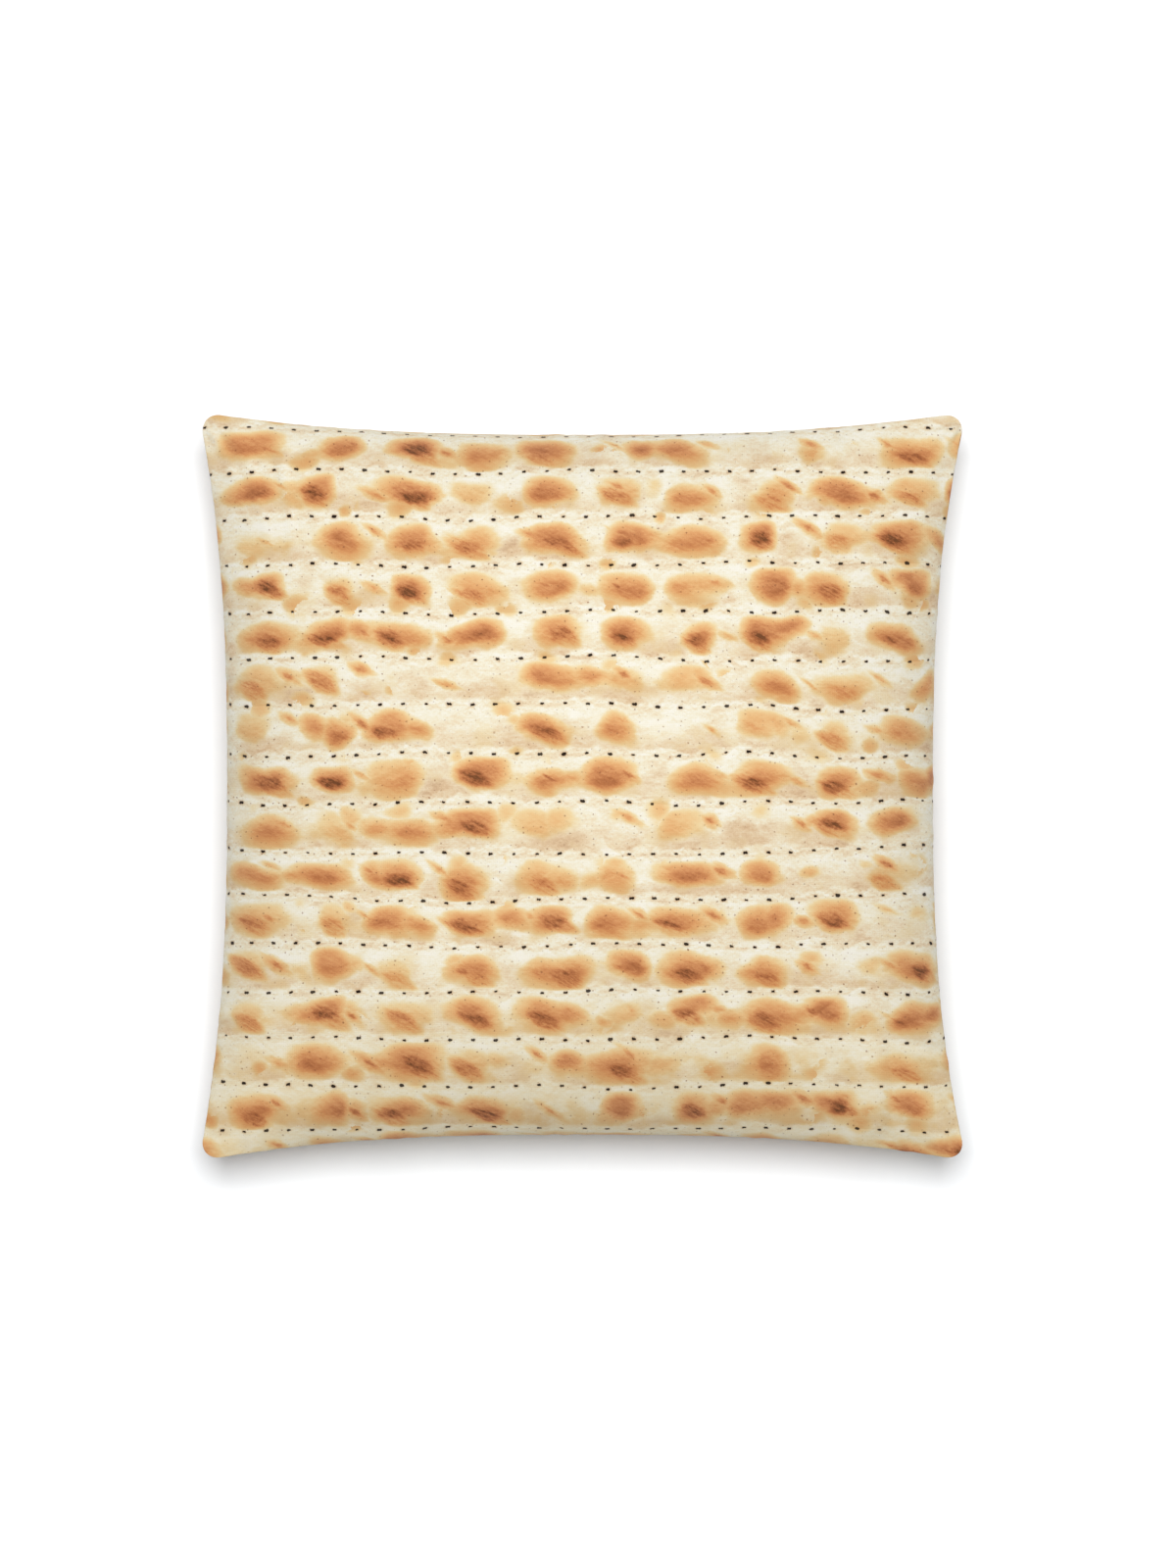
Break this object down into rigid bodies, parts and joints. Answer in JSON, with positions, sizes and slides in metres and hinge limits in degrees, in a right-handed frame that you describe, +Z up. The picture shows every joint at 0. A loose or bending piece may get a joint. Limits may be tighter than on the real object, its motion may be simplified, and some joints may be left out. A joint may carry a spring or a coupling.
{
  "type": "throw cushion with a flatbread print",
  "caption": "Square filled throw cushion with a plain sewn seam and an all-over toasted flatbread print, lying flat on one face.",
  "frame": {"origin": "on the floor under the middle of the cushion, at the bottom centre of its box", "axes": "+Z up out of the upper printed face, +X across the print along the rows of prick marks, +Y towards the top of the print"},
  "size_m": [0.4497, 0.4392, 0.1353],
  "materials": {
    "cover": "matt plain-weave cover cloth, printed all over in cream with toasted golden to brown blisters and rows of dark prick marks"
  },
  "bodies": {
    "root": {"cushion": "cover"}
  },
  "joints": []
}
